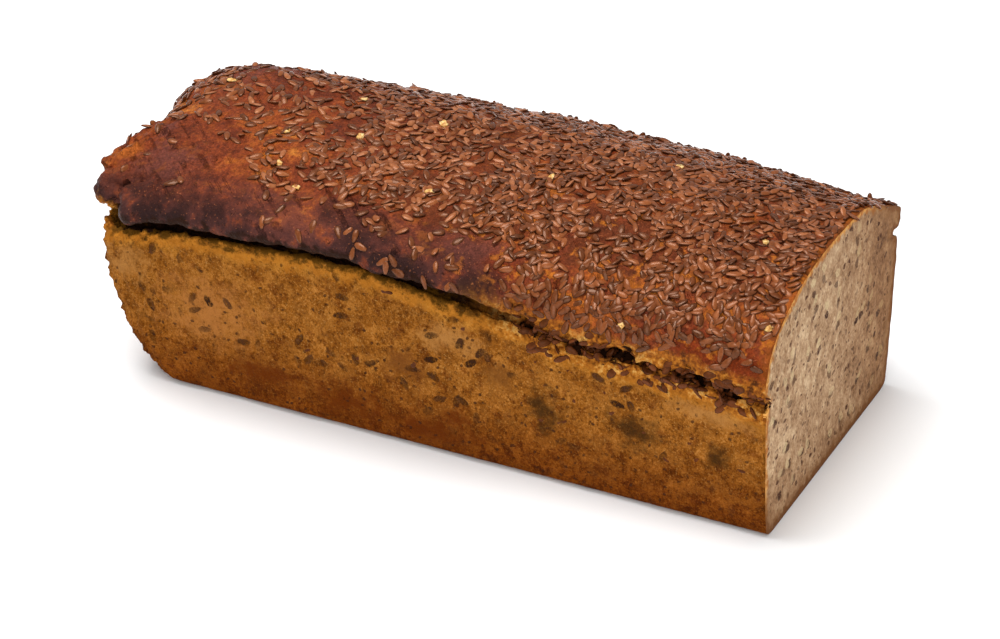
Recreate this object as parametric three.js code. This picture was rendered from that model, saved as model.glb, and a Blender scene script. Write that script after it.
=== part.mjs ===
// A rye loaf baked in a tin, with one end sliced off. Millimetres, +Z up.
// The loaf was baked as one piece, so it is one closed solid. Its top crust rose over the tin's rim
// and overhangs the pale tin side: a rolled lip with a gap under it runs along both long sides and
// round the uncut end. At the front left corner the lip is torn into two ragged flaps.
// Origin: under the middle of the loaf's outline box, on the surface that it stands on.
// +X runs along the loaf to the cut face, and -Y is the front side.

import * as THREE from "three";
import { mergeVertices } from "three/addons/utils/BufferGeometryUtils.js";

// Driving dimensions.
const LENGTH = 246; // from the tips of the torn flaps to the cut face
const BASE_HALF_WIDTH = 52; // the tin's floor
const RIM_HALF_WIDTH = 55.5; // the tin's flared rim
const CROWN = 83; // height of the crown at the cut face
const LEDGE = 48; // height of the tin side under the lip, at the cut face's front
const END_FLARE = 18; // how far the tin's end leans out between floor and rim
const EDGE_ROUND = 0.8; // how far the base's edge is rounded off
const TIN_CORNER = 11; // radius of the tin's upright corners, seen from above
const LIP_CORNER = 26; // radius of the top crust's corners, seen from above
const END_ROLL = 23; // length over which the top crust rolls down at the uncut end
const END_NOSE = 0.38; // share of the crown's rise that is left at the uncut end's nose
const END_FADE = 70; // length over which the end wall's lean dies out along the long sides
const END_LIP = 1.5; // how far the crust stands out over the end wall
const END_GAP = 4; // how deep the gap under the end's lip is
const FLAP_REACH = 5; // how far the longer torn flap stands out of the uncut end

const CUT_X = LENGTH / 2;
const END_X = FLAP_REACH - LENGTH / 2; // the lip's nose at the uncut end, away from the flaps

// The grid of the surface: cells along the loaf, across it, and up its side.
const CELLS_ALONG = 44;
const CELLS_ACROSS = 24;
const CELLS_UP = 18;
const END_CROWDING = 1.5; // 1 spaces the cells evenly, more packs them towards the uncut end

// A smooth function of x through [share, value] stations, with -1 at the uncut end and 1 at the cut.
function along(stations) {
  const shares = stations.map(([share]) => share);
  const values = stations.map(([, value]) => value);
  const curve = new THREE.CubicInterpolant(shares, values, 1, new Float64Array(1));
  return (x) => curve.evaluate(THREE.MathUtils.clamp(x / CUT_X, -1, 1))[0];
}

// A smooth outline through [a, b] points, read from 0 at its first point to 1 at its last.
function outline(points) {
  const curve = new THREE.SplineCurve(points.map(([a, b]) => new THREE.Vector2(a, b)));
  return (share) => curve.getPoint(share);
}

// How the section changes along the loaf. On each side, ledge is the height of the tin side's top,
// lip is how far the crust stands out over it, gap is how deep the space under the lip is, and
// rise goes from the ledge up to the lip's nose.
const crownHeight = along([[-1, CROWN - 1], [-0.5, CROWN + 1.5], [0.5, CROWN + 1], [1, CROWN]]);
const front = {
  side: -1,
  rise: 5.5,
  ledge: along([
    [-1, LEDGE + 4.5], [-0.75, LEDGE + 6.5], [-0.5, LEDGE + 7.5], [-0.15, LEDGE + 7.5],
    [0.15, LEDGE + 7], [0.4, LEDGE + 4.5], [0.65, LEDGE + 1], [1, LEDGE],
  ]),
  lip: along([[-1, 3], [-0.65, 4], [-0.15, 3.6], [0.15, 2.6], [0.4, 0.8], [0.65, 0.4], [1, 0.8]]),
  gap: along([[-1, 5], [-0.5, 6], [0, 5], [0.35, 2.2], [0.6, 3.4], [0.85, 4], [1, 2]]),
};
const back = {
  side: 1,
  rise: 9,
  ledge: along([[-1, LEDGE + 5], [-0.5, LEDGE + 9], [0.1, LEDGE + 12], [0.5, LEDGE + 11], [1, LEDGE + 7]]),
  lip: along([[-1, 2], [-0.35, 3], [0.35, 1.6], [1, 1.4]]),
  gap: along([[-1, 4], [0, 3], [1, 3.4]]),
};

// The tin side's outline below its rim, as [share of the flare, share of the ledge's height].
const TIN_SIDE = [[0.45, 0.35], [0.8, 0.7]];

// One long side at station x, from the base's edge up the tin side, into the gap and out to the
// lip's nose. The points are [distance from the middle, height].
function sideOutline({ side, rise, ledge, lip, gap }, x) {
  const top = ledge(x);
  const inner = RIM_HALF_WIDTH - gap(x);
  const nose = RIM_HALF_WIDTH + 0.8 + lip(x);
  const tinSide = TIN_SIDE.map(([flare, up]) => [
    THREE.MathUtils.lerp(BASE_HALF_WIDTH, RIM_HALF_WIDTH, flare),
    top * up,
  ]);
  const points = [
    [BASE_HALF_WIDTH - EDGE_ROUND, EDGE_ROUND], // the base's edge
    [BASE_HALF_WIDTH + 0.4, 7],
    ...tinSide,
    [RIM_HALF_WIDTH, top - 4], // the tin side rounds over into the ledge
    [RIM_HALF_WIDTH - 1, top + 0.4],
    [inner, top + 1.6], // the bottom of the gap
    [inner + 0.2, top + 3.4],
    [RIM_HALF_WIDTH + lip(x) / 2, top + 3], // the underside of the lip
    [nose, top + rise],
  ];
  return outline(points.map(([out, up]) => [side * out, up]));
}

// The top crust, from the front lip's nose over the crown to the back lip's nose. The points are
// [share of the half width, share of the rise from that side's nose to the crown]. The front
// shoulder is full and the back falls away more gently.
const dome = outline([
  [-1, 0], [-0.985, 0.18], [-0.94, 0.44], [-0.84, 0.655], [-0.68, 0.81], [-0.53, 0.92],
  [-0.37, 0.975], [-0.2, 1], [0, 1], [0.15, 0.975], [0.3, 0.95], [0.44, 0.87],
  [0.6, 0.66], [0.8, 0.35], [0.94, 0.13], [1, 0],
]);

// The uncut end's upright outline, from the base's edge to the lip's nose, as the distance that
// the wall stands in from the nose. It has the same ten stages as sideOutline.
const endInset = outline([
  END_FLARE + END_LIP, END_FLARE * 0.68 + END_LIP, END_FLARE * 0.3 + END_LIP, END_LIP, END_LIP,
  END_LIP + 1, END_LIP + END_GAP, END_LIP + END_GAP, END_LIP * 0.6, 0,
].map((inset, stage) => [inset, stage]));

// The torn flaps and the small teeth along the rest of the end's lip, as [y, reach, half width].
const FLAPS = [[-36, FLAP_REACH, 5], [-50, 4.5, 5.5], [-22, 2.2, 6], [8, 1.6, 8], [33, 2, 7]];
function flapReach(y) {
  return Math.max(...FLAPS.map(([middle, reach, half]) => reach * Math.exp(-(((y - middle) / half) ** 2))));
}

// The section at station x, as a point for shares (across, up) of the grid from 0 to 1. The four
// outlines bound it, and a Coons patch fills the faces at the loaf's two ends.
function section(x) {
  const frontSide = sideOutline(front, x);
  const backSide = sideOutline(back, x);
  const [noseFront, noseBack] = [frontSide(1), backSide(1)];
  const roll = THREE.MathUtils.clamp((x - END_X) / END_ROLL, 0, 1);
  const lift = THREE.MathUtils.lerp(END_NOSE, 1, Math.sqrt(1 - (1 - roll) ** 2));
  const top = (across) => {
    const { x: share, y: height } = dome(across);
    const nose = share < 0 ? noseFront : noseBack;
    const up = nose.y + (crownHeight(x) - nose.y) * height * lift;
    return new THREE.Vector2(Math.abs(share) * nose.x, up);
  };
  const base = (across) => {
    const edge = across === 0 || across === 1 ? EDGE_ROUND : 0;
    return new THREE.Vector2((2 * across - 1) * (BASE_HALF_WIDTH - EDGE_ROUND), edge);
  };
  const blend = (a, b, share) => new THREE.Vector2().lerpVectors(a, b, share);
  return (across, up) => {
    if (up === 0) return base(across);
    if (up === 1) return top(across);
    if (across === 0) return frontSide(up);
    if (across === 1) return backSide(up);
    const corners = blend(
      blend(frontSide(0), backSide(0), across),
      blend(noseFront, noseBack, across),
      up,
    );
    return blend(frontSide(up), backSide(up), across).add(blend(base(across), top(across), up)).sub(corners);
  };
}

// Rounds an upright corner at the uncut end: a point within the corner's square, at distances
// (fromEnd, fromSide) from the two walls, moves onto a quarter disc. It returns both distances.
function roundCorner(radius, fromEnd, fromSide) {
  const a = radius - fromEnd;
  const b = radius - fromSide;
  if (a <= 0 || b <= 0) return [fromEnd, fromSide];
  const shrink = Math.max(a, b) / Math.hypot(a, b);
  return [radius - a * shrink, radius - b * shrink];
}

// The loaf's place for a point of a unit box, whose coordinates run from -0.5 to 0.5.
const sections = new Map();
function loafPoint(box) {
  const [share, across, up] = [box.x + 0.5, box.y + 0.5, box.z + 0.5];
  const station = END_X + (CUT_X - END_X) * share ** END_CROWDING;
  if (!sections.has(station)) sections.set(station, section(station));
  const { x: y, y: z } = sections.get(station)(across, up);

  // The end wall's lean and gap fade out along the loaf, so the long sides keep their own outline.
  const inset = endInset(up).x * (1 - THREE.MathUtils.smoothstep(station, END_X, END_X + END_FADE));
  const halfWidth = Math.abs(sections.get(station)(y < 0 ? 0 : 1, up).x);
  const nearLip = THREE.MathUtils.smoothstep(up, 0.75, 1);
  const radius = THREE.MathUtils.lerp(TIN_CORNER, LIP_CORNER, nearLip);
  const [fromEnd, fromSide] = roundCorner(radius, station - END_X, halfWidth - Math.abs(y));
  const sideways = Math.sign(y) * (halfWidth - fromSide);
  const nearEnd = 1 - THREE.MathUtils.smoothstep(station, END_X, END_X + END_ROLL);
  const flap = flapReach(sideways) * nearLip ** 3 * nearEnd;
  return new THREE.Vector3(END_X + fromEnd + inset - flap, sideways, z);
}

// A box of grid cells, bent into the loaf and centred over the origin.
function loafGeometry() {
  const box = new THREE.BoxGeometry(1, 1, 1, CELLS_ALONG, CELLS_ACROSS, CELLS_UP);
  box.deleteAttribute("normal");
  box.deleteAttribute("uv");
  const loaf = mergeVertices(box);
  const places = loaf.getAttribute("position");
  const point = new THREE.Vector3();
  for (let i = 0; i < places.count; i++) {
    point.fromBufferAttribute(places, i);
    places.setXYZ(i, ...loafPoint(point).toArray());
  }
  loaf.computeBoundingBox();
  const middle = loaf.boundingBox.getCenter(new THREE.Vector3());
  loaf.translate(-middle.x, -middle.y, 0);
  loaf.computeVertexNormals();
  return loaf;
}

const crust = new THREE.MeshStandardMaterial({ color: 0xa8692f, roughness: 0.8, metalness: 0 });
const loaf = new THREE.Mesh(loafGeometry(), crust);
loaf.name = "rye_loaf";

const part = new THREE.Group();
part.add(loaf);

export default part;
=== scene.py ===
# A rye loaf baked in a tin, with linseed on its crust and one end sliced off.
import math

import bpy
import numpy as np
from mathutils import Matrix, Vector, noise


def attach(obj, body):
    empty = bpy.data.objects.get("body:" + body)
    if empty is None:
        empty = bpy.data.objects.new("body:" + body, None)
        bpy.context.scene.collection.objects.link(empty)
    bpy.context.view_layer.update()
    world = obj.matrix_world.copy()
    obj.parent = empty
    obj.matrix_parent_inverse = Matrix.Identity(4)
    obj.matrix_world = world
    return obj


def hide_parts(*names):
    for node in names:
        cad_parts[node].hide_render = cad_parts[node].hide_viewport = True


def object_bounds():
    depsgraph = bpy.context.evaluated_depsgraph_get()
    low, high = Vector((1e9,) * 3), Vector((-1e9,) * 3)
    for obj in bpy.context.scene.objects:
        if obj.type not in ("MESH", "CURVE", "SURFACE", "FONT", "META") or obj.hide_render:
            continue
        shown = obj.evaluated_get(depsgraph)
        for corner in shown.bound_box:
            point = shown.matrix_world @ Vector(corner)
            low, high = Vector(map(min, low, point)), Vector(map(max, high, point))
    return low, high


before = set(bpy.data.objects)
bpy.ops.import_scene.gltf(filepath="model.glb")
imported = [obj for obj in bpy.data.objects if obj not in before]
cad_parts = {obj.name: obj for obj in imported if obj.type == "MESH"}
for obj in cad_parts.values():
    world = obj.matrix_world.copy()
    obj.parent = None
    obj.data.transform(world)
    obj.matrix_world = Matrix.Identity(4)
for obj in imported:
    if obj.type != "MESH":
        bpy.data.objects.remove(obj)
cad_box = [list(corner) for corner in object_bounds()]
CUT_X = cad_box[1][0]
MM = 0.001


# ---------------------------------------------------------------- Camera
# The camera looks down on the front long side, with the cut end to the right. It is a long lens a
# good way off, so the loaf's long edges stay nearly parallel.
CAMERA_AZIMUTH = math.radians(25.763)
CAMERA_ELEVATION = math.radians(30.858)
CAMERA_DISTANCE = 1.3875
CAMERA_TARGET = Vector((CUT_X - 0.1200, 0.0053, 0.0188))

camera_data = bpy.data.cameras.new("camera")
camera_data.lens = 150
camera_data.sensor_width = 36
camera = bpy.data.objects.new("camera", camera_data)
bpy.context.scene.collection.objects.link(camera)
towards_camera = Vector((
    math.sin(CAMERA_AZIMUTH) * math.cos(CAMERA_ELEVATION),
    -math.cos(CAMERA_AZIMUTH) * math.cos(CAMERA_ELEVATION),
    math.sin(CAMERA_ELEVATION),
))
camera.location = CAMERA_TARGET + towards_camera * CAMERA_DISTANCE
camera.rotation_mode = "QUATERNION"
camera.rotation_quaternion = (-towards_camera).to_track_quat("-Z", "Y")
bpy.context.scene.camera = camera


# ---------------------------------------------------------------- Floor and light
# A plain white floor under soft studio light: a wide softbox overhead, and a second one in front
# for the tin side and the cut face.
FLOOR_SIZE = 6
FLOOR_DROP = 0.0001
FLOOR_WHITE = (0.93, 0.93, 0.93, 1)
SKY_STRENGTH = 0.45


def set_inputs(tree, node, values):
    """Links each value that is a socket, and sets any other on the node's input."""
    for name, value in values.items():
        if isinstance(value, bpy.types.NodeSocket):
            tree.links.new(value, node.inputs[name])
        else:
            node.inputs[name].default_value = value


def add_node(tree, kind, values, **settings):
    node = tree.nodes.new("ShaderNode" + kind)
    for name, setting in settings.items():
        setattr(node, name, setting)
    set_inputs(tree, node, values)
    return node


def new_material(name):
    """A node material with only an output node, and its tree."""
    material = bpy.data.materials.new(name)
    material.use_nodes = True
    material.node_tree.nodes.clear()
    material.node_tree.nodes.new("ShaderNodeOutputMaterial")
    return material, material.node_tree


def finish_material(tree, values):
    shader = add_node(tree, "BsdfPrincipled", values)
    tree.links.new(shader.outputs["BSDF"], tree.nodes["Material Output"].inputs["Surface"])


bpy.ops.object.select_all(action="DESELECT")
bpy.ops.mesh.primitive_plane_add(size=FLOOR_SIZE, location=(0, 0, -FLOOR_DROP))
floor = bpy.context.object
floor.name = "floor"
floor_paint, tree = new_material("floor_paint")
finish_material(tree, {"Base Color": FLOOR_WHITE, "Roughness": 0.9})
floor.data.materials.append(floor_paint)

world = bpy.data.worlds.new("studio")
world.use_nodes = True
world.node_tree.nodes["Background"].inputs["Color"].default_value = (1, 1, 1, 1)
world.node_tree.nodes["Background"].inputs["Strength"].default_value = SKY_STRENGTH
bpy.context.scene.world = world
bpy.context.scene.view_settings.view_transform = "Standard"

for name, place, size, power in [
    ("softbox_above", (-0.30, -0.05, 1.5), 0.9, 25),
    ("softbox_front", (0.75, -1.5, 0.9), 1.4, 18),
]:
    bpy.ops.object.light_add(type="AREA", location=place)
    softbox = bpy.context.object
    softbox.name = name
    softbox.data.size = size
    softbox.data.energy = power
    softbox.rotation_mode = "QUATERNION"
    softbox.rotation_quaternion = (CAMERA_TARGET - softbox.location).to_track_quat("-Z", "Y")


# ---------------------------------------------------------------- The loaf
# One piece of rye dough, baked in a tin: the crust on top rose over the rim and hangs over the pale
# sides, and the crumb shows where the end was sliced off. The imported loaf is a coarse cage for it.
FRONT_LEDGE = [(-1, 52.5), (-0.75, 54.5), (-0.5, 55.5), (0.15, 55), (0.4, 52.5), (0.65, 49), (1, 48)]
BACK_LEDGE = [(-1, 53), (-0.5, 57), (0.1, 60), (0.5, 59), (1, 55)]


def ledge_height(x, y):
    """Height of the tin side's top, where the gap under the lip starts."""
    front = np.interp(x / CUT_X, *np.transpose(FRONT_LEDGE))
    back = np.interp(x / CUT_X, *np.transpose(BACK_LEDGE))
    share = np.clip(y / 0.1 + 0.5, 0, 1)
    return (front + (back - front) * share) * MM


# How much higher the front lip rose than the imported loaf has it, in millimetres, along the loaf.
FRONT_RISE = [
    (-1, 4), (-0.83, 4.8), (-0.67, 7.2), (-0.5, 7.8), (-0.31, 9.4), (-0.16, 9.8), (0.05, 7), (0.2, 5.2),
    (0.33, 4.6), (0.39, 2.4), (0.44, 2.2), (0.56, 4.2), (0.8, 4.2), (0.96, 1.5), (1, 1),
]


def front_rise(x, y):
    return np.interp(x / CUT_X, *np.transpose(FRONT_RISE)) * fade(-y, 0, 0.03) * MM


def fade(values, start, end):
    """0 up to start and 1 from end, with a smooth rise between them."""
    share = np.clip((values - start) / (end - start), 0, 1)
    return share * share * (3 - 2 * share)


def corners(piece):
    """The piece's vertices as three arrays, x, y and z."""
    places = np.empty(len(piece.data.vertices) * 3)
    piece.data.vertices.foreach_get("co", places)
    return places.reshape(-1, 3).T


def faces(piece, what):
    """One vector for each face: its center or its normal."""
    values = np.empty(len(piece.data.polygons) * 3)
    piece.data.polygons.foreach_get(what, values)
    return values.reshape(-1, 3).T


def edit_faces(piece, chosen):
    """Goes into edit mode with only these faces selected."""
    bpy.context.view_layer.objects.active = piece
    bpy.ops.object.mode_set(mode="EDIT")
    bpy.ops.mesh.select_mode(type="FACE")
    bpy.ops.mesh.select_all(action="DESELECT")
    bpy.ops.object.mode_set(mode="OBJECT")
    piece.data.polygons.foreach_set("select", chosen)
    bpy.ops.object.mode_set(mode="EDIT")


def select_rim(piece):
    """Selects the outline of the cut face, and leaves the piece in object mode."""
    edit_faces(piece, faces(piece, "normal")[0] > 0.9)
    bpy.ops.mesh.region_to_loop()
    bpy.ops.object.mode_set(mode="OBJECT")


def apply_modifier(piece, kind, **settings):
    modifier = piece.modifiers.new(kind.lower(), kind)
    for name, value in settings.items():
        setattr(modifier, name, value)
    bpy.context.view_layer.objects.active = piece
    bpy.ops.object.modifier_apply(modifier=modifier.name)


bpy.ops.object.select_all(action="DESELECT")
loaf = bpy.data.objects.new("baked_loaf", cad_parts["rye_loaf"].data.copy())
bpy.context.scene.collection.objects.link(loaf)
loaf.select_set(True)
bpy.context.view_layer.objects.active = loaf
loaf.data.materials.clear()
bpy.ops.object.mode_set(mode="EDIT")
bpy.ops.mesh.select_all(action="SELECT")
bpy.ops.mesh.remove_doubles(threshold=0.02 * MM)
bpy.ops.mesh.tris_convert_to_quads(face_threshold=math.pi, shape_threshold=math.pi)
bpy.ops.mesh.customdata_custom_splitnormals_clear()
bpy.ops.object.mode_set(mode="OBJECT")

# The cut stays a sharp edge, and the base's edge nearly so, while the rest is rounded.
for crease, axis, side in [(1, 0, 1), (0.6, 2, -1)]:
    edit_faces(loaf, faces(loaf, "normal")[axis] * side > 0.99)
    bpy.ops.mesh.region_to_loop()
    bpy.ops.transform.edge_crease(value=crease)
    bpy.ops.object.mode_set(mode="OBJECT")
apply_modifier(loaf, "SUBSURF", levels=2, render_levels=2)

# The flat base needs few faces. The lip and the torn corner need finer ones.
center, normal = faces(loaf, "center"), faces(loaf, "normal")
edit_faces(loaf, (normal[2] < -0.999) & (center[2] < 0.05 * MM))
bpy.ops.mesh.dissolve_limited(angle_limit=math.radians(1))
bpy.ops.object.mode_set(mode="OBJECT")
center, normal = faces(loaf, "center"), faces(loaf, "normal")
over = center[2] - ledge_height(center[0], center[1])
near_lip = (np.abs(over - 1 * MM) < 9 * MM) & (center[1] < -0.04) & (normal[2] > -0.5)
torn = (center[0] < -0.088) & (center[1] < -0.015) & (over > -6 * MM) & (over < 24 * MM)
edit_faces(loaf, near_lip | torn)
bpy.ops.mesh.subdivide(number_cuts=1)
bpy.ops.object.mode_set(mode="OBJECT")

# At the front left corner the lip is torn: two short flaps stand out of it, with a notch between
# them and a dent beside the rolled end of the front lip. A few bubbles broke the crust elsewhere.
# Each row is [x, y, z] of the middle, the pull and its reach, in millimetres.
PULLS = [
    ((-118, -42, 73), (-5, 0, -1), 5), ((-119, -35, 74), (2.5, 0.5, -1), 5),
    ((-116, -49, 61.5), (-0.8, 0.5, 0.5), 4), ((-119, -41, 65.5), (6.5, 1.5, 0), 5),
    ((-112, -55, 60), (4.5, 3.5, 0), 7), ((-111, -55, 69), (4, 3, -1.5), 5),
    ((-101, -50, 75), (0.5, 1.5, -3.5), 4), ((-105, -52, 73), (0.5, 2, -3), 4),
    ((-107, -58, 63), (2, 3.5, 0), 5), ((-98, -58, 63), (-1, -2.2, -0.5), 8),
    ((-86, 14, 84), (0, 0, 2.7), 38), ((-118, -12, 76), (1.2, 0, -0.8), 20),
    ((-78, -39, 82), (0, 0.5, -2.5), 3.5), ((116, -36, 81), (0, 0.5, -2.5), 3.5),
    ((70, -46, 77), (0, 1, -2), 4), ((64, -45, 77), (0, 1, -1.6), 3), ((108, -8, 84), (0, 0, -1.5), 4),
    ((-55, -57, 70), (0, -1.5, 0), 14), ((-5, -58, 67), (0, -1.2, 0), 12),
]
for middle, pull, reach in PULLS:
    x, y, z = corners(loaf)
    distance = np.sqrt((x - middle[0] * MM) ** 2 + (y - middle[1] * MM) ** 2 + (z - middle[2] * MM) ** 2)
    bpy.ops.object.mode_set(mode="EDIT")
    bpy.ops.mesh.select_mode(type="VERT")
    bpy.ops.mesh.select_all(action="DESELECT")
    bpy.ops.object.mode_set(mode="OBJECT")
    loaf.data.vertices[int(np.argmin(distance))].select = True
    bpy.ops.object.mode_set(mode="EDIT")
    bpy.ops.transform.translate(
        value=[value * MM for value in pull], use_proportional_edit=True,
        proportional_edit_falloff="SMOOTH", proportional_size=reach * MM,
    )
    bpy.ops.object.mode_set(mode="OBJECT")

x, y, z = corners(loaf)
over = z - ledge_height(x, y)
raised = fade(over, -16 * MM, -1.5 * MM) * (1 - fade(over, 5 * MM, 30 * MM)) * front_rise(x, y)
loaf.data.vertices.foreach_set("co", np.transpose([x, y, z + raised]).ravel())
loaf.data.update()

# Relief of the crust, the sides and the crumb. Each row is a region's weights, the texture, the
# size of its bumps and their height.
x, y, z = corners(loaf)
over = z - ledge_height(x, y) - front_rise(x, y)
on_cut = np.abs(x - CUT_X) < 0.01 * MM
select_rim(loaf)
rim = np.array([vertex.select for vertex in loaf.data.vertices]) & on_cut
skin = np.where(rim, 0.55, ~on_cut)
crust = fade(over, 1 * MM, 6 * MM) * skin
tin = (1 - fade(over, 1 * MM, 6 * MM)) * fade(z, 0.5 * MM, 3 * MM) * skin
lip = np.exp(-((over - 3 * MM) / (4 * MM)) ** 2) * skin
crack = np.exp(-((over - 1 * MM) / (5.5 * MM)) ** 2) * skin * fade(x, 0.01, 0.05) * (y < 0)
overhang = fade(over, 3.5 * MM, 7 * MM) * fade(over, 20 * MM, 9 * MM) * (y < 0) * fade(x, 0.03, 0)
undercut = np.exp(-((over - 1.6 * MM) / (1.9 * MM)) ** 2) * skin * fade(x, 0.05, 0.02)
undercut *= (1 - 0.55 * fade(y, 0, 0.03)) * fade(x, -0.119, -0.111)
scraps = np.exp(-((over - 2 * MM) / (3 * MM)) ** 2) * skin * fade(x, 0.05, 0.02) * (y < 0)
tear = fade(x, -0.098, -0.108) * fade(over, 3 * MM, 6 * MM) * fade(y, -0.005, -0.02)
tear *= fade(over, 30 * MM, 22 * MM)
end_wall = tin * fade(x, -0.085, -0.1)
# The crack itself wanders up and down, and gapes wider in places.
drift = np.array([noise.noise(Vector((spot * 75, 0, 3))) for spot in x]) * 2.2 * MM
gape = np.array([noise.noise(Vector((spot * 150, 7, height * 60))) for spot, height in zip(x, z)])
gape = np.clip(gape * 2.2 + 0.45, 0.12, 1)
groove = np.exp(-((over - 1.4 * MM - drift) / ((0.6 + 1.5 * gape) * MM)) ** 2) * (0.45 + 0.55 * gape)
groove *= skin * fade(x, 0.022, 0.045) * (y < 0)
RELIEF = [
    ("crust_swell", crust, "CLOUDS", 32, 2.6, 0.62),
    ("crust_bumps", crust, "CLOUDS", 9, 1.3, 0.55),
    ("crust_wrinkles", crust, "CLOUDS", 3.2, 0.8, 0.5),
    ("lip_overhang", overhang, "NONE", 1, 2.0, 0),
    ("lip_undercut", undercut, "NONE", 1, -3.4, 0),
    ("lip_rag", lip, "CLOUDS", 7, 2.8, 0.5),
    ("lip_scraps", scraps, "CLOUDS", 2.2, 2.6, 0.5),
    ("crack_rag", crack, "CLOUDS", 3.4, 5.2, 0.52),
    ("crack_gape", groove, "NONE", 1, -3.6, 0),
    ("tear_rag", tear, "CLOUDS", 3.2, 2.6, 0.5),
    ("tin_swell", tin, "CLOUDS", 24, 1.4, 0.6),
    ("tin_pits", tin, "CLOUDS", 3.0, 0.9, 0.6),
    ("end_rag", end_wall, "CLOUDS", 2.4, 3.8, 0.58),
    ("crumb_open", on_cut * ~rim * 1.0, "CLOUDS", 2.4, 1.1, 0.75),
]
for name, weights, kind, size, height, level in RELIEF:
    group = loaf.vertex_groups.new(name=name)
    for step in np.unique(np.round(weights, 2)):
        if step > 0:
            at = np.flatnonzero(np.round(weights, 2) == step)
            group.add(at.tolist(), float(step), "REPLACE")
    texture = None
    if kind != "NONE":
        texture = bpy.data.textures.new(name, kind)
        texture.noise_scale = size * MM
        texture.noise_depth = 2
    apply_modifier(
        loaf, "DISPLACE", texture=texture, texture_coords="LOCAL", direction="NORMAL",
        vertex_group=name, strength=height * MM, mid_level=level,
    )
loaf.vertex_groups.clear()
bpy.ops.object.shade_smooth()


def set_attribute(piece, name, values):
    """Keeps one number for each vertex, which the materials read."""
    layer = piece.data.attributes.new(name, "FLOAT", "POINT")
    layer.data.foreach_set("value", np.asarray(values, np.float32))


set_attribute(loaf, "over_ledge", over)
set_attribute(loaf, "groove", groove)
off_the_lip = 1 - fade(-y, 0.036, 0.05) * 0.7
set_attribute(loaf, "seed_cover", fade(x, -0.07, 0.012) * off_the_lip * fade(over, 5 * MM, 9 * MM))

# How deep a point of the cut face lies under the crust: its distance to the cut's outline.
x, y, z = corners(loaf)
rim_y, rim_z = y[rim], z[rim]
depth = np.zeros(len(x))
for i in np.flatnonzero(on_cut):
    depth[i] = np.sqrt(np.min((rim_y - y[i]) ** 2 + (rim_z - z[i]) ** 2))
set_attribute(loaf, "rim_depth", depth)


# The looks of the loaf. A crust goes from amber through mahogany to nearly black with the heat it
# took. The side that the tin held is a matt ochre, and the crumb is grey-beige with cut grains.
def group_tree(name, inputs, outputs):
    """An empty shader node group, with its inputs as {name: (kind, value)} and its outputs."""
    group = bpy.data.node_groups.new(name, "ShaderNodeTree")
    for socket_name, (kind, value) in inputs.items():
        socket = group.interface.new_socket(socket_name, in_out="INPUT", socket_type="NodeSocket" + kind)
        socket.default_value = value
    for socket_name, kind in outputs.items():
        group.interface.new_socket(socket_name, in_out="OUTPUT", socket_type="NodeSocket" + kind)
    start, end = group.nodes.new("NodeGroupInput"), group.nodes.new("NodeGroupOutput")
    return group, start.outputs, end.inputs


def place_group(tree, group, values):
    """Places a node group in a material, with its values, and returns its outputs."""
    node = tree.nodes.new("ShaderNodeGroup")
    node.node_tree = group
    set_inputs(tree, node, values)
    return node.outputs


def maths(tree, operation, *values):
    return add_node(tree, "Math", dict(enumerate(values)), operation=operation).outputs["Value"]


def product(tree, first, *others):
    for other in others:
        first = maths(tree, "MULTIPLY", first, other)
    return first


def weighted_sum(tree, *terms):
    """Adds up values, given as (value, weight) pairs."""
    total = 0.0
    for value, weight in terms:
        total = maths(tree, "MULTIPLY_ADD", value, weight, total)
    return total


def roughen(tree, value, bumps, amount):
    """Moves a value up and down by a noise."""
    return maths(tree, "MULTIPLY_ADD", maths(tree, "SUBTRACT", bumps, 0.5), amount, value)


def vector_maths(tree, operation, *values):
    return add_node(tree, "VectorMath", dict(enumerate(values)), operation=operation).outputs["Vector"]


def smooth_step(tree, value, start, end, low=0.0, high=1.0):
    """Goes smoothly from low to high as the value goes from start to end."""
    values = {"Value": value, "From Min": start, "From Max": end, "To Min": low, "To Max": high}
    return add_node(tree, "MapRange", values, interpolation_type="SMOOTHSTEP").outputs["Result"]


def blend_colours(tree, share, below, above, way="MIX"):
    node = add_node(tree, "Mix", {0: share}, data_type="RGBA", blend_type=way)
    for slot, colour in ((6, below), (7, above)):
        is_socket = isinstance(colour, bpy.types.NodeSocket)
        set_inputs(tree, node, {slot: colour if is_socket else (*colour, 1)})
    return node.outputs[2]


def colour_ramp(tree, value, stops):
    node = add_node(tree, "ValToRGB", {"Fac": value})
    ramp = node.color_ramp
    while len(ramp.elements) < len(stops):
        ramp.elements.new(0.5)
    for element, (position, colour) in zip(ramp.elements, stops):
        element.position = position
        element.color = (*colour, 1)
    return node.outputs["Color"]


def noise_value(tree, place, scale, detail=3.0, roughness=0.55):
    values = {"Vector": place, "Scale": scale, "Detail": detail, "Roughness": roughness}
    return add_node(tree, "TexNoise", values).outputs["Fac"]


def stored_value(tree, name):
    """A number that the mesh keeps for each vertex."""
    return add_node(tree, "Attribute", {}, attribute_name=name).outputs["Fac"]


def flat_vector(tree, across, up):
    return add_node(tree, "CombineXYZ", {"X": across, "Y": up, "Z": 0.0}).outputs[0]


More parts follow.
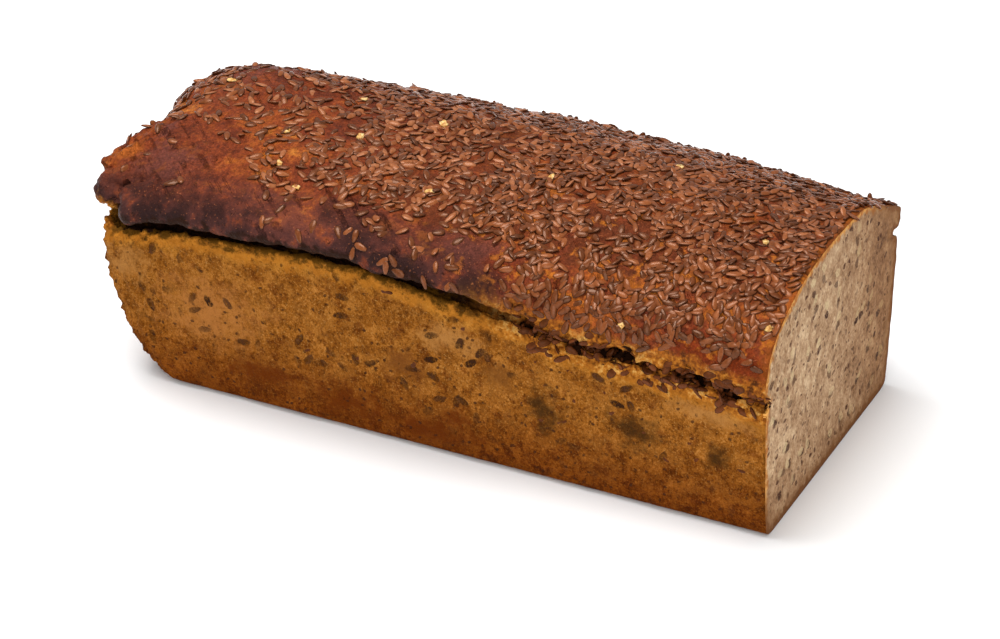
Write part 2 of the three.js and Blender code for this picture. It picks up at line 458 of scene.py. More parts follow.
# A patch with a ragged edge, such as a burnt or an underbaked one.
patch, inside, outside = group_tree(
    "ragged_patch",
    {"Place": ("Vector", (0, 0, 0)), "Centre": ("Vector", (0, 0, 0)), "Reach": ("Vector", (1, 1, 1)),
     "Raggedness": ("Float", 0.8), "Edge": ("Float", 0.5)},
    {"Mask": "Float"},
)
offset = vector_maths(patch, "SUBTRACT", inside["Place"], inside["Centre"])
offset = vector_maths(patch, "DIVIDE", offset, inside["Reach"])
distance = add_node(patch, "VectorMath", {0: offset}, operation="LENGTH").outputs["Value"]
distance = roughen(patch, distance, noise_value(patch, inside["Place"], 170, 6, 0.72), inside["Raggedness"])
mask = smooth_step(patch, distance, inside["Edge"], 1.0, 1.0, 0.0)
patch.links.new(mask, outside["Mask"])

# Seeds and grains in the dough, turned every way. Share is how many of the cells hold one.
grains, inside, outside = group_tree(
    "grain_marks",
    {"Place": ("Vector", (0, 0, 0)), "Spacing": ("Float", 0.006), "Length": ("Float", 0.004),
     "Width": ("Float", 0.002), "Share": ("Float", 0.5), "Softness": ("Float", 0.3)},
    {"Mask": "Float", "Tint": "Float"},
)
per_metre = maths(grains, "DIVIDE", 1.0, inside["Spacing"])
cell = add_node(
    grains, "TexVoronoi", {"Vector": inside["Place"], "Scale": per_metre},
    voronoi_dimensions="2D", feature="F1",
)
chance = add_node(grains, "SeparateColor", {"Color": cell.outputs["Color"]})
turn = maths(grains, "MULTIPLY", chance.outputs["Red"], math.tau)
offset = vector_maths(grains, "SUBTRACT", inside["Place"], cell.outputs["Position"])
offset = add_node(
    grains, "VectorRotate", {"Vector": offset, "Angle": turn}, rotation_type="Z_AXIS",
).outputs["Vector"]
size = add_node(grains, "CombineXYZ", {"X": inside["Length"], "Y": inside["Width"], "Z": 1.0}).outputs[0]
offset = vector_maths(grains, "DIVIDE", offset, size)
distance = add_node(grains, "VectorMath", {0: offset}, operation="LENGTH").outputs["Value"]
distance = roughen(grains, distance, noise_value(grains, inside["Place"], 900, 2), 0.35)
soft = maths(grains, "SUBTRACT", 0.5, maths(grains, "MULTIPLY", inside["Softness"], 0.5))
shape = smooth_step(grains, distance, soft, 0.5, 1.0, 0.0)
held = maths(grains, "LESS_THAN", chance.outputs["Green"], inside["Share"])
grains.links.new(maths(grains, "MULTIPLY", shape, held), outside["Mask"])
grains.links.new(chance.outputs["Blue"], outside["Tint"])


# The crust's patches: [centre, reach] in millimetres, and the colour that the crust has there.
BURNT = (0.060, 0.018, 0.010)
PLUM = (0.125, 0.034, 0.023)
AMBER = (0.300, 0.075, 0.012)
ORANGE = (0.410, 0.115, 0.011)
RED = (0.145, 0.021, 0.004)
CRUST_PATCHES = [
    ((-96, -40, 76), (16, 10, 8), PLUM), ((18, -48, 77), (17, 7, 8), PLUM),
    ((-104, -25, 80), (4, 7, 5), PLUM), ((-55, -48, 77), (10, 5, 5), PLUM),
    ((-80, -56, 68), (16, 6, 6), PLUM), ((-25, -54, 73), (16, 6, 5), PLUM),
    ((-123, -42, 73), (5, 5, 4), BURNT), ((-121, -48, 67), (5, 6, 4), BURNT),
    ((86, -36, 80), (11, 5, 6), ORANGE), ((76, -45, 76), (12, 5, 5), ORANGE),
    ((58, -42, 79), (9, 5, 6), AMBER), ((62, -52, 68), (14, 6, 6), AMBER),
    ((115, -56, 62), (9, 8, 12), RED), ((100, -54, 66), (12, 9, 7), RED),
    ((104, -46, 75), (8, 4, 5), ORANGE), ((-12, -49, 77), (6, 3, 4), AMBER),
    ((-73, -36, 81), (3, 2, 3), AMBER),
    ((-64, -30, 83), (2.5, 2, 3), ORANGE), ((-112, -36, 76), (6, 6, 6), AMBER),
    ((-30, -36, 82), (8, 4, 5), AMBER), ((30, -50, 76), (8, 4, 5), RED),
    ((40, 20, 85), (26, 12, 8), RED), ((-20, 40, 78), (20, 12, 12), PLUM),
    ((70, 50, 68), (30, 10, 10), PLUM), ((-100, 20, 78), (14, 24, 12), PLUM),
]
# The tin side's patches. Grain that touched the tin is a grey-brown shadow under the surface.
GRAIN_SHADOW = (0.040, 0.016, 0.003)
OX_RED = (0.110, 0.021, 0.001)
STRAW = (0.38, 0.165, 0.040)
PALE_OCHRE = (0.36, 0.135, 0.030)
CHESTNUT = (0.16, 0.050, 0.008)
TAN = (0.18, 0.062, 0.010)
SIDE_PATCHES = [
    ((47, -53, 28), (7, 30, 10), GRAIN_SHADOW), ((78, -53, 29), (10, 30, 8), GRAIN_SHADOW),
    ((15, -53, 17), (6, 30, 6), OX_RED), ((106, -53, 27), (5, 30, 6), GRAIN_SHADOW),
    ((-23, -53, 12), (16, 30, 8), OX_RED), ((5, -53, 9), (20, 30, 6), OX_RED),
    ((-75, -53, 33), (22, 30, 14), PALE_OCHRE), ((14, -53, 46), (12, 30, 6), STRAW),
    ((-3, -53, 32), (10, 30, 7), CHESTNUT), ((31, -53, 37), (9, 30, 6), TAN),
    ((105, -53, 43), (18, 30, 4), STRAW), ((-105, -53, 45), (9, 30, 8), STRAW),
    ((-55, -53, 14), (16, 30, 6), OX_RED), ((30, 53, 30), (24, 30, 12), OX_RED),
    ((-60, 53, 25), (10, 30, 7), OX_RED), ((-118, 10, 40), (30, 18, 10), OX_RED),
]


PATCH_GROWTH = 1.25
PATCH_RAGGEDNESS = 2.6


def lay_patches(tree, place, colour, patches, strength, edge):
    """Blends each patch's colour over a colour."""
    for centre, reach, patch_colour in patches:
        mask = place_group(tree, patch, {
            "Place": place,
            "Centre": [value * MM for value in centre],
            "Reach": [value * MM * PATCH_GROWTH for value in reach],
            "Raggedness": PATCH_RAGGEDNESS,
            "Edge": edge,
        })["Mask"]
        colour = blend_colours(tree, product(tree, mask, strength), colour, patch_colour)
    return colour


# The other colours that the crust and the tin side go to, from the top down.
SEED_SHADE = (0.115, 0.027, 0.008)
AMBER_SPOT = (0.400, 0.115, 0.013)
LIGHT_SPECK = (0.42, 0.13, 0.05)
FLAKY_OCHRE = (0.400, 0.160, 0.028)
MOTTLE_TINT = (0.50, 0.36, 0.22)
LIGHT_GRAIN = (0.56, 0.29, 0.080)
DARK_GRAIN = (0.070, 0.020, 0.003)
LOW_SHADE_TINT = (0.54, 0.33, 0.10)
GOLDEN_BAND = (0.52, 0.220, 0.028)
PIT_SHADE = (0.050, 0.018, 0.008)
BURST_SHADE = (0.045, 0.015, 0.005)
BAKED_ORANGE = (0.420, 0.140, 0.012)
LIP_SHADE = (0.060, 0.026, 0.002)
CRACK_EDGE_SHADE = (0.130, 0.036, 0.005)
CRACK_SHADOW = (0.020, 0.007, 0.003)
GAP_SHADE = (0.020, 0.007, 0.004)
TEAR_SHADE = (0.012, 0.005, 0.003)
CRUST_GLINT = (1.0, 0.62, 0.45, 1.0)

crust_look, tree = new_material("crust_look")
place = add_node(tree, "TexCoord", {}).outputs["Object"]
over = stored_value(tree, "over_ledge")
axes = add_node(tree, "SeparateXYZ", {"Vector": place}).outputs

# The top crust.
broad = noise_value(tree, place, 30, 3)
middling = noise_value(tree, place, 130, 5, 0.6)
fine = noise_value(tree, place, 650, 4, 0.6)
grain = noise_value(tree, place, 1500, 3, 0.7)
heat = weighted_sum(tree, (middling, 0.38), (broad, 0.42), (fine, 0.2))
heat = maths(tree, "ADD", heat, smooth_step(tree, axes["X"], -0.06, -0.10, 0.0, 0.025))
top = colour_ramp(tree, heat, [
    (0.38, (0.052, 0.012, 0.007)), (0.46, (0.112, 0.022, 0.009)), (0.52, (0.170, 0.033, 0.011)),
    (0.58, (0.245, 0.054, 0.012)), (0.66, (0.420, 0.135, 0.022)),
])
top = lay_patches(tree, place, top, CRUST_PATCHES, 0.85, 0.2)
# Among the thick seeds the crust is darkened with painted shade, with amber spots towards the cut end.
covered = smooth_step(tree, stored_value(tree, "seed_cover"), 0.25, 0.9, 0.0, 0.6)
shading = product(tree, covered, smooth_step(tree, middling, 0.60, 0.50))
top = blend_colours(tree, shading, top, SEED_SHADE)
spots = product(
    tree, smooth_step(tree, noise_value(tree, place, 190, 4, 0.65), 0.54, 0.64),
    smooth_step(tree, axes["X"], -0.02, 0.04, 0.15, 0.85),
    smooth_step(tree, axes["Y"], 0.005, -0.03, 0.3, 1.0),
)
top = blend_colours(tree, spots, top, AMBER_SPOT)
stretched = add_node(tree, "Mapping", {"Vector": place, "Scale": (1, 0.7, 0.7)}).outputs["Vector"]
wrinkles = noise_value(tree, stretched, 700, 4, 0.65)
mottling = smooth_step(tree, wrinkles, 0.3, 0.7, 0.72, 1.28)
mottling = product(tree, mottling, smooth_step(tree, grain, 0.3, 0.7, 0.75, 1.25))
grey = add_node(tree, "CombineXYZ", {"X": mottling, "Y": mottling, "Z": mottling}).outputs[0]
top = blend_colours(tree, 1.0, top, grey, "MULTIPLY")
# The lip over the tin's front edge was rolled over and took the most heat.
front_side = smooth_step(tree, axes["Y"], -0.040, -0.048)
rolled = product(
    tree, smooth_step(tree, over, 0.022, 0.008), smooth_step(tree, axes["X"], 0.040, 0.022),
    front_side, smooth_step(tree, middling, 0.68, 0.52, 0.35, 1.0),
)
top = blend_colours(tree, rolled, top, colour_ramp(tree, weighted_sum(tree, (broad, 0.5), (middling, 0.5)), [
    (0.42, (0.022, 0.010, 0.010)), (0.50, (0.062, 0.021, 0.018)), (0.60, (0.135, 0.038, 0.026)),
]))
ragged_x = maths(tree, "MULTIPLY_ADD", middling, 0.008, axes["X"])
near_cut = smooth_step(tree, ragged_x, CUT_X - 0.002, CUT_X + 0.004)
top = blend_colours(tree, product(tree, near_cut, 0.3), top, ORANGE)
specks = smooth_step(tree, noise_value(tree, place, 1300, 2), 0.64, 0.72, 0.0, 0.45)
top = blend_colours(tree, specks, top, LIGHT_SPECK)

# The side that the tin held, yellower under the lip, and browner and darker towards the base: partly its own
# colour, partly painted shade.
upright = add_node(tree, "Mapping", {"Vector": place, "Scale": (1, 1, 0.7)}).outputs["Vector"]
fibres = noise_value(tree, upright, 700, 6, 0.9)
side = colour_ramp(tree, weighted_sum(tree, (fibres, 0.65), (middling, 0.35)), [
    (0.36, (0.065, 0.019, 0.002)), (0.45, (0.165, 0.050, 0.004)), (0.53, (0.270, 0.090, 0.009)),
    (0.62, (0.450, 0.180, 0.034)),
])
flaky = smooth_step(tree, noise_value(tree, place, 110, 7, 0.7), 0.50, 0.54, 0.0, 0.3)
side = blend_colours(tree, flaky, side, FLAKY_OCHRE)
mottles = smooth_step(tree, noise_value(tree, place, 150, 6, 0.72), 0.47, 0.40, 0.0, 0.7)
side = blend_colours(tree, mottles, side, MOTTLE_TINT, "MULTIPLY")
side = blend_colours(tree, smooth_step(tree, grain, 0.55, 0.70, 0.0, 0.5), side, LIGHT_GRAIN)
side = blend_colours(tree, smooth_step(tree, grain, 0.45, 0.32, 0.0, 0.75), side, DARK_GRAIN)
# Painted shade, with some of the crust's own browning, darkens the side towards the base.
low_shade = smooth_step(tree, axes["Z"], 0.000, 0.036, 0.9, 0.0)
side = blend_colours(tree, low_shade, side, LOW_SHADE_TINT, "MULTIPLY")
broken = smooth_step(tree, fibres, 0.36, 0.54, 0.5, 1.0)
side = lay_patches(tree, place, side, SIDE_PATCHES, product(tree, broken, 0.95), 0.05)
band = roughen(tree, over, middling, 0.016)
golden = product(
    tree, smooth_step(tree, band, -0.010, -0.002, 0.0, 0.7), smooth_step(tree, fibres, 0.40, 0.52, 0.3, 1.0),
)
side = blend_colours(tree, golden, side, GOLDEN_BAND)

# Grains, pits and burst bubbles in the tin side; the pits and bubbles are darkened with painted shade.
flat_place = flat_vector(tree, maths(tree, "ADD", axes["X"], axes["Y"]), axes["Z"])
marks = place_group(tree, grains, {
    "Place": flat_place, "Spacing": 0.0072, "Length": 0.0056, "Width": 0.0027, "Share": 0.6,
    "Softness": 0.3,
})
mark_depth = product(
    tree, marks["Mask"], smooth_step(tree, fibres, 0.44, 0.52, 0.0, 1.0),
    smooth_step(tree, noise_value(tree, place, 45, 2), 0.48, 0.58, 0.0, 1.0),
    smooth_step(tree, axes["Z"], 0.010, 0.030, 0.2, 1.0),
)
side = blend_colours(tree, mark_depth, side, colour_ramp(tree, marks["Tint"], [
    (0.0, (0.030, 0.011, 0.005)), (1.0, (0.110, 0.040, 0.015)),
]))
pits = place_group(tree, grains, {
    "Place": flat_place, "Spacing": 0.0034, "Length": 0.0014, "Width": 0.0010, "Share": 0.4,
    "Softness": 0.3,
})
pit_depth = product(tree, pits["Mask"], smooth_step(tree, middling, 0.42, 0.58))
# The pits and burst bubbles are darkened with painted shade.
side = blend_colours(tree, product(tree, pit_depth, 0.8), side, PIT_SHADE)
burst = product(tree, smooth_step(tree, fibres, 0.40, 0.33), smooth_step(tree, middling, 0.44, 0.56))
side = blend_colours(tree, product(tree, burst, 0.75), side, BURST_SHADE)

# Right under the lip the side is baked orange, and painted shade darkens it where the lip hangs over it.
scrap_band = roughen(tree, over, noise_value(tree, place, 240, 6, 0.7), 0.016)
baked = smooth_step(tree, scrap_band, -0.0075, -0.0045, 0.0, 0.55)
side = blend_colours(tree, baked, side, BAKED_ORANGE)
under_lip = smooth_step(tree, axes["X"], -0.119, -0.111)
shaded = product(tree, smooth_step(tree, scrap_band, -0.0042, -0.0012, 0.0, 0.9), under_lip)
side = blend_colours(tree, shaded, side, LIP_SHADE)

# Towards the cut end the crack under the lip shows torn dough, darkened into the crack with painted shade.
# Elsewhere the gap under the lip is painted near black as shade, and the crust begins above it.
torn_here = product(tree, smooth_step(tree, axes["X"], 0.012, 0.045), front_side)
dough = colour_ramp(tree, weighted_sum(tree, (middling, 0.5), (fine, 0.5)), [
    (0.38, (0.060, 0.018, 0.004)), (0.45, (0.230, 0.066, 0.008)), (0.53, (0.430, 0.150, 0.016)),
    (0.62, (0.620, 0.330, 0.085)),
])
tear = product(
    tree, smooth_step(tree, band, -0.0075, -0.0035), smooth_step(tree, band, 0.0110, 0.0060), torn_here,
)
torn_corner = place_group(tree, patch, {
    "Place": place, "Centre": (-0.1155, -0.054, 0.0595), "Reach": (0.0080, 0.010, 0.0075),
    "Raggedness": 0.9, "Edge": 0.6,
})["Mask"]
tear_line = place_group(tree, patch, {
    "Place": place, "Centre": (-0.1032, -0.047, 0.0708), "Reach": (0.0060, 0.0020, 0.0019),
    "Raggedness": 1.2, "Edge": 0.4,
})["Mask"]
groove = roughen(tree, stored_value(tree, "groove"), noise_value(tree, place, 420, 4, 0.65), 0.9)
# Painted shade darkens the torn dough towards the crack, and nearly black in its depth.
dough = blend_colours(tree, smooth_step(tree, groove, 0.15, 0.45, 0.0, 0.6), dough, CRACK_EDGE_SHADE)
dough = blend_colours(tree, smooth_step(tree, groove, 0.42, 0.62), dough, CRACK_SHADOW)
# Painted shade: the gap under the lip is near black, in a band that is thinner towards the back.
thinner = smooth_step(tree, axes["Y"], 0.0, 0.04, 0.0058, 0.0042)
gap_shade_top = maths(tree, "MULTIPLY_ADD", torn_here, -0.002, thinner)
gap = product(tree, smooth_step(tree, band, 0.0002, 0.0018), maths(tree, "MAXIMUM", under_lip, 0.4))
colour = blend_colours(tree, gap, side, GAP_SHADE)
above = smooth_step(tree, maths(tree, "SUBTRACT", band, gap_shade_top), 0.0, 0.002)
colour = blend_colours(tree, above, colour, top)
colour = blend_colours(tree, torn_corner, colour, dough)
colour = blend_colours(tree, tear, colour, dough)
# A thin dark line of painted shade along the tear in the front left corner.
colour = blend_colours(tree, tear_line, colour, TEAR_SHADE)
on_top = smooth_step(tree, over, 0.003, 0.007)
height = weighted_sum(
    tree, (middling, 0.5), (fine, 0.35), (grain, 0.22), (product(tree, wrinkles, on_top), 0.2),
    (pit_depth, -0.5), (mark_depth, -0.25), (burst, -0.4),
)
bump = add_node(tree, "Bump", {"Strength": 1.0, "Distance": 0.0017, "Height": height}).outputs["Normal"]
gloss = smooth_step(tree, fine, 0.35, 0.65, 0.34, 0.52)
roughness = maths(tree, "MULTIPLY_ADD", on_top, maths(tree, "SUBTRACT", gloss, 0.85), 0.85)
finish_material(tree, {
    "Base Color": colour, "Roughness": roughness, "Normal": bump, "Specular IOR Level": 0.07,
    "Specular Tint": CRUST_GLINT,
})
loaf.data.materials.append(crust_look)

# The crumb, as the knife left it: pores and cut grains, browner towards the crust.
CUT_SHADE = (0.62, 0.48, 0.36)
BROWN_RIM = (0.27, 0.125, 0.045)
DULL_GOLD = (0.42, 0.150, 0.030)
BRIGHT_GOLD = (0.72, 0.340, 0.080)
FAR_RIM = (0.20, 0.075, 0.022)

crumb_look, tree = new_material("crumb_look")
place = add_node(tree, "TexCoord", {}).outputs["Object"]
axes = add_node(tree, "SeparateXYZ", {"Vector": place}).outputs
flat_place = flat_vector(tree, axes["Y"], axes["Z"])
sawn = add_node(
    tree, "Mapping", {"Vector": flat_place, "Rotation": (0, 0, 0.6), "Scale": (1.25, 0.85, 1)},
).outputs[0]
broad = noise_value(tree, flat_place, 60, 3)
middling = noise_value(tree, sawn, 260, 4, 0.65)
fine = noise_value(tree, sawn, 1100, 3, 0.6)
crumb = weighted_sum(tree, (middling, 0.4), (broad, 0.3), (fine, 0.3))
colour = colour_ramp(tree, crumb, [
    (0.36, (0.150, 0.075, 0.035)), (0.44, (0.330, 0.185, 0.092)), (0.51, (0.470, 0.290, 0.158)),
    (0.60, (0.680, 0.480, 0.290)),
])
depth = 0.0
for spacing, length, width, share, tone in [
    (0.0080, 0.0044, 0.0030, 0.33, (0.045, 0.010, 0.004)),
    (0.0052, 0.0026, 0.0018, 0.33, (0.075, 0.018, 0.006)),
    (0.0026, 0.0012, 0.0010, 0.36, (0.110, 0.045, 0.022)),
    (0.0085, 0.0048, 0.0034, 0.30, (0.640, 0.470, 0.260)),
]:
    shifted = vector_maths(tree, "ADD", flat_place, (spacing * 7.3, spacing * 3.1, 0))
    marks = place_group(tree, grains, {
        "Place": shifted, "Spacing": spacing, "Length": length, "Width": width, "Share": share,
        "Softness": 0.3,
    })
    strength = smooth_step(tree, marks["Tint"], 0.0, 1.0, 0.60, 1.0)
    broken = smooth_step(tree, fine, 0.40, 0.52, 0.45, 1.0)
    mark = product(tree, marks["Mask"], product(tree, strength, broken))
    colour = blend_colours(tree, mark, colour, tone)
    depth = maths(tree, "ADD", mark, depth)
rim_depth = roughen(tree, stored_value(tree, "rim_depth"), middling, 0.006)
far_side = smooth_step(tree, axes["Y"], 0.02, 0.05)
low_side = smooth_step(tree, axes["Z"], 0.022, 0.004)
browner = maths(tree, "MAXIMUM", far_side, low_side)
# Painted shade darkens the crumb towards the back and the base.
darker = maths(
    tree, "MAXIMUM", smooth_step(tree, axes["Y"], -0.01, 0.05, 0.0, 0.95),
    smooth_step(tree, axes["Z"], 0.03, 0.0, 0.0, 0.65),
)
colour = blend_colours(tree, darker, colour, CUT_SHADE, "MULTIPLY")
brown_reach = maths(tree, "MULTIPLY_ADD", browner, 0.0045, 0.0030)
brown = smooth_step(tree, maths(tree, "DIVIDE", rim_depth, brown_reach), 0.1, 1.0, 0.8, 0.0)
colour = blend_colours(tree, brown, colour, BROWN_RIM)
gold = blend_colours(tree, smooth_step(tree, middling, 0.42, 0.58), DULL_GOLD, BRIGHT_GOLD)
gold = blend_colours(tree, browner, gold, FAR_RIM)
colour = blend_colours(tree, smooth_step(tree, rim_depth, 0.0012, 0.0026, 1.0, 0.0), colour, gold)
height = maths(tree, "SUBTRACT", crumb, product(tree, depth, 0.3))
bump = add_node(tree, "Bump", {"Strength": 0.5, "Distance": 0.0012, "Height": height}).outputs["Normal"]
finish_material(tree, {
    "Base Color": colour, "Roughness": 0.92, "Normal": bump, "Specular IOR Level": 0.2,
})
loaf.data.materials.append(crumb_look)
on_cut_face = faces(loaf, "center")[0] > CUT_X - 0.9 * MM
on_cut_face &= faces(loaf, "normal")[0] > 0.5
loaf.data.polygons.foreach_set("material_index", on_cut_face.astype(np.int32))
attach(loaf, "root")
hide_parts("rye_loaf")


# ---------------------------------------------------------------- Linseed
# Nearly four thousand brown linseeds, strewn on the wet dough before baking. Each is a flat drop with
# a thin edge, glossy, and baked on at its own tilt. They are densest towards the cut end.
SEED_LENGTH, SEED_WIDTH, SEED_DEPTH = 4.7 * MM, 2.55 * MM, 1.0 * MM
HUSK_EDGE_AND_SHADE = (0.036, 0.010, 0.004)
HUSK_GLINT = (1.0, 0.66, 0.48, 1.0)
MOST_LEAN = 0.5
FRONT_SHADE = 0.45
rng = np.random.default_rng(20)

bpy.ops.object.select_all(action="DESELECT")
bpy.ops.mesh.primitive_uv_sphere_add(segments=10, ring_count=5, radius=0.5, rotation=(0, math.pi / 2, 0))
seed = bpy.context.object
bpy.ops.object.transform_apply(location=False, rotation=True, scale=False)
bpy.ops.object.mode_set(mode="EDIT")
bpy.ops.mesh.select_mode(type="VERT")
bpy.ops.mesh.select_all(action="SELECT")
bpy.ops.transform.resize(value=(SEED_LENGTH, SEED_WIDTH, SEED_DEPTH), center_override=(0, 0, 0))
bpy.ops.mesh.select_all(action="DESELECT")
bpy.ops.object.mode_set(mode="OBJECT")
# The drop narrows towards one end, and its tip is drawn out.
for start, end, scale in [(0.1, 0.45, (1, 0.84, 0.9)), (0.49, 0.51, (1.12, 1, 1))]:
    for vertex in seed.data.vertices:
        vertex.select = start * SEED_LENGTH < vertex.co.x < end * SEED_LENGTH
    bpy.ops.object.mode_set(mode="EDIT")
    bpy.ops.transform.resize(value=scale, center_override=(0, 0, 0))
    bpy.ops.object.mode_set(mode="OBJECT")
seed_places = np.array(corners(seed)).T
# Sorted, because the sphere lists the faces at its ends in another order from run to run.
seed_faces = sorted(list(face.vertices) for face in seed.data.polygons)
seed_rim = 1 - np.clip(np.abs(seed_places[:, 2]) / (SEED_DEPTH / 2), 0, 1)
bpy.data.objects.remove(seed)

# The seeds' middles so far, by the grid cell that they lie in.
taken = {}


def scatter(name, chances, count, spacing, sunk, lift, turning, tilt, tones, look):
    """Lays seeds on the loaf. chances is a number for each face of the loaf, spacing is the least
    distance between two seeds' middles, sunk and lift are the lowest and highest that a middle lies
    over the surface. turning is the most it turns from the loaf's length, tilt is how far it leans,
    and tones are the darkest and lightest tint."""
    area = np.empty(len(loaf.data.polygons))
    loaf.data.polygons.foreach_get("area", area)
    pull = chances * area
    picked = rng.choice(len(pull), size=count * 5, p=pull / pull.sum())
    ups = faces(loaf, "normal").T
    kept = []
    for face in picked:
        points = [loaf.data.vertices[i].co for i in loaf.data.polygons[face].vertices]
        shares = rng.dirichlet(np.ones(len(points)))
        spot = np.sum([np.array(point) * share for point, share in zip(points, shares)], axis=0)
        cell = tuple(np.floor(spot / spacing).astype(int))
        near = [taken.get((cell[0] + i, cell[1] + j, cell[2] + k), [])
                for i in (-1, 0, 1) for j in (-1, 0, 1) for k in (-1, 0, 1)]
        if any(np.sum((spot - other) ** 2) < spacing ** 2 for spots in near for other in spots):
            continue
        taken.setdefault(cell, []).append(spot)
        kept.append((spot, ups[face]))
        if len(kept) == count:
            break
    places = []
    for spot, up in kept:
        facing = Vector(up).to_track_quat("Z", "Y").to_matrix()
        roll, pitch = np.clip([rng.normal(0, tilt), rng.normal(0, tilt * 0.6)], -MOST_LEAN, MOST_LEAN)
        lean = Matrix.Rotation(roll, 3, "X") @ Matrix.Rotation(pitch, 3, "Y")
        turn = np.array(facing @ Matrix.Rotation(rng.uniform(-turning, turning), 3, "Z") @ lean)
        grown = rng.normal(1, 0.07, 3).clip(0.8, 1.18)
        places.append((seed_places * grown) @ turn.T + spot + np.array(up) * rng.uniform(sunk, lift))
    total = len(seed_places)
    mesh = bpy.data.meshes.new(name)
    mesh.from_pydata(
        np.concatenate(places).tolist(), [],
        [[i + total * number for i in face] for number in range(len(kept)) for face in seed_faces],
    )
    piece = bpy.data.objects.new(name, mesh)
    bpy.context.scene.collection.objects.link(piece)
    mesh.polygons.foreach_set("use_smooth", [True] * len(mesh.polygons))
    # Seeds that face the front get a darker tint as painted shade.
    darker_in_front = np.array([1 - FRONT_SHADE * max(0, -up[1]) for _, up in kept])
    set_attribute(piece, "tint", np.repeat(rng.uniform(*tones, len(kept)) * darker_in_front, total))
    set_attribute(piece, "rim", np.tile(seed_rim, len(kept)))
    mesh.materials.append(look)
    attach(piece, "root")


# The seeds on the crust are glossy, and the ones caught in the crack and the side are duller.
seed_looks = []
for name, shine in [("linseed_look", 0.36), ("caught_linseed_look", 0.10)]:
    seed_look, tree = new_material(name)
    place = add_node(tree, "TexCoord", {}).outputs["Object"]
    mottled = noise_value(tree, place, 900, 3)
    shade = weighted_sum(tree, (mottled, 0.4), (stored_value(tree, "tint"), 0.6))
    colour = colour_ramp(tree, shade, [
        (0.12, (0.054, 0.015, 0.004)), (0.40, (0.138, 0.037, 0.010)), (0.68, (0.245, 0.071, 0.021)),
        (0.92, (0.400, 0.155, 0.066)),
    ])
    # The seed's thin edge is darker: partly the husk's own colour, partly painted shade.
    edge = smooth_step(tree, stored_value(tree, "rim"), 0.30, 1.0, 0.0, 0.9)
    colour = blend_colours(tree, edge, colour, HUSK_EDGE_AND_SHADE)
    finish_material(tree, {
        "Base Color": colour, "Roughness": smooth_step(tree, mottled, 0.3, 0.7, 0.17, 0.33),
        "Specular IOR Level": shine, "Specular Tint": HUSK_GLINT,
    })
    seed_looks.append(seed_look)

# The seeds thin out towards the uncut end and below this line on the front lip, given as (x, -y).
LIP_LINE = [
    (-0.08, 0.030), (-0.055, 0.040), (-0.03, 0.042), (0.0, 0.036), (0.02, 0.037), (0.04, 0.041),
    (0.06, 0.046),
]
x, y, z = faces(loaf, "center")
normal = faces(loaf, "normal")
over = z - ledge_height(x, y) - front_rise(x, y)
crust = fade(over, 4 * MM, 8 * MM) * (normal[0] < 0.7) * (normal[2] > -0.2)
along = fade(x, -0.105, 0.005) ** 1.5
front_face = fade(-y - np.interp(x, *np.transpose(LIP_LINE)), 0, 0.008)
thin_front = 1 - front_face * (1 - 0.65 * fade(x, 0.02, 0.055)) * 0.95
crest = 0.24 * fade(y, -0.03, 0.012) * (1 - along)
clumps = np.array([noise.noise(Vector(spot) * 90) for spot in zip(x, y, z)]) * 1.5 + 0.85
cracked = fade(x, 0.02, 0.05) * (y < 0) * fade(over, 11 * MM, 7 * MM)
edge_free = fade(CUT_X - x, 0.8 * MM, 2.5 * MM)
open_front = 1 - 0.5 * fade(-y, 0.02, 0.035) * fade(x, 0.0, 0.03)
dense = open_front * (0.035 + crest + 0.96 * along) * thin_front * np.clip(clumps, 0.08, 1)
dense = dense * (1 - cracked) * edge_free
half = x < 0.012
scatter(
    "linseed_left", crust * dense * half, 1400, 1.7 * MM, -0.3 * MM, 0.4 * MM, math.pi, 0.26, (0, 1),
    seed_looks[0],
)
scatter(
    "linseed_right", crust * dense * ~half, 2150, 1.6 * MM, -0.3 * MM, 0.55 * MM, math.pi, 0.32, (0, 0.95),
    seed_looks[0],
)

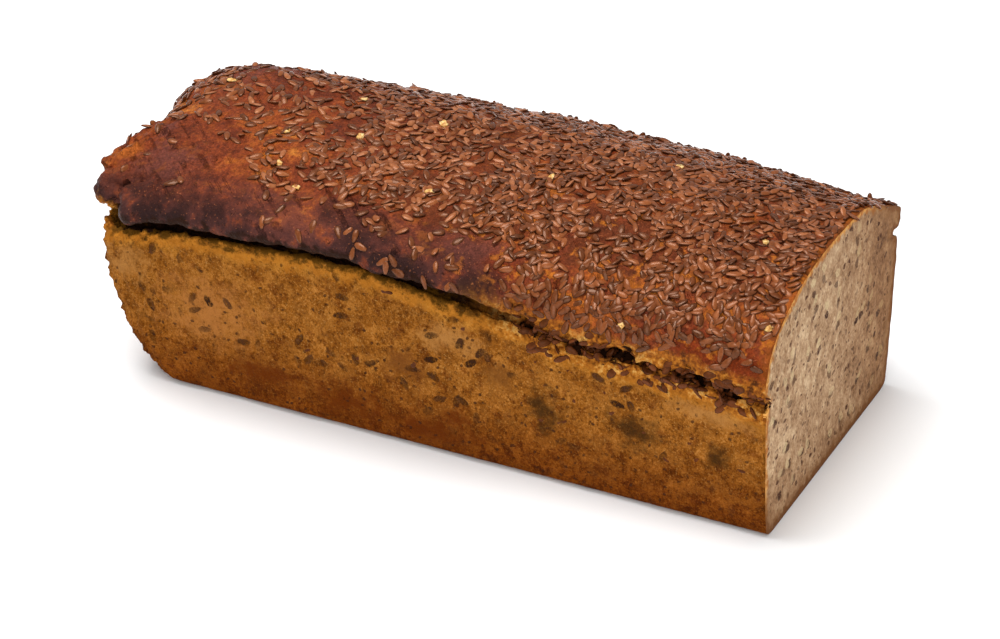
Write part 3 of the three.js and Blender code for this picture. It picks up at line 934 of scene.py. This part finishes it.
# More linseed is caught in the crack under the lip, towards the cut end. A little is baked into the
# front side, flush with it.
cracked = fade(x, 0.025, 0.05) * (y < 0) * fade(over, 8 * MM, 5 * MM) * fade(over, -7 * MM, -3 * MM)
scatter(
    "linseed_crack", cracked * edge_free * np.clip(clumps, 0.05, 1), 230, 1.4 * MM, -0.45 * MM, 0.25 * MM,
    1.0, 0.5, (0, 0.45), seed_looks[1],
)
side = (over < -4 * MM) * (z > 20 * MM) * (y < 0) * (np.abs(normal[1]) > 0.9) * fade(x, -0.09, 0.06)
scatter("linseed_side", side * 1.0, 26, 6 * MM, -0.46 * MM, -0.4 * MM, 1.2, 0.06, (0, 0.15), seed_looks[1])


# ---------------------------------------------------------------- Golden flakes
# A few pale yellow flakes of grain, loose among the linseed and baked on with it. Each is a thin
# irregular chip, slightly curled.
flake_look, tree = new_material("flake_look")
place = add_node(tree, "TexCoord", {}).outputs["Object"]
colour = colour_ramp(tree, noise_value(tree, place, 700, 3), [
    (0.35, (0.38, 0.160, 0.025)), (0.50, (0.62, 0.350, 0.100)), (0.62, (0.78, 0.560, 0.250)),
])
finish_material(tree, {"Base Color": colour, "Roughness": 0.5, "Specular IOR Level": 0.3})

FLAKES = [
    (-98, 8), (-65, -15), (-47, -42), (-58, -33), (-53, 16), (-41, -9), (33, 6), (27, -8), (104, -13),
    (119, -46), (73, -54), (-20, 10), (60, 20), (-5, -30),
]
bpy.ops.object.select_all(action="DESELECT")
for number, (x, y) in enumerate(FLAKES):
    _, spot, up, _ = loaf.ray_cast(Vector((x * MM, y * MM, 0.2)), Vector((0, 0, -1)))
    bpy.ops.mesh.primitive_ico_sphere_add(subdivisions=2, radius=1, location=spot + up * 0.5 * MM)
    flake = bpy.context.object
    flake.name = "grain_flake_" + str(number + 1)
    flake.scale = (rng.uniform(1.3, 2.1) * MM, rng.uniform(0.9, 1.4) * MM, rng.uniform(0.35, 0.55) * MM)
    flake.rotation_mode = "QUATERNION"
    lean = Matrix.Rotation(rng.normal(0, 0.25), 3, "X") @ Matrix.Rotation(rng.uniform(0, math.tau), 3, "Z")
    flake.rotation_quaternion = (up.to_track_quat("Z", "Y").to_matrix() @ lean).to_quaternion()
    bpy.ops.object.transform_apply(location=True, rotation=True, scale=True)
    bpy.ops.object.mode_set(mode="EDIT")
    bpy.ops.mesh.select_all(action="SELECT")
    bpy.ops.transform.vertex_random(offset=0.35 * MM, uniform=1, seed=number)
    bpy.ops.object.mode_set(mode="OBJECT")
    bpy.ops.object.shade_smooth()
    flake.select_set(False)
    flake.data.materials.append(flake_look)
    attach(flake, "root")
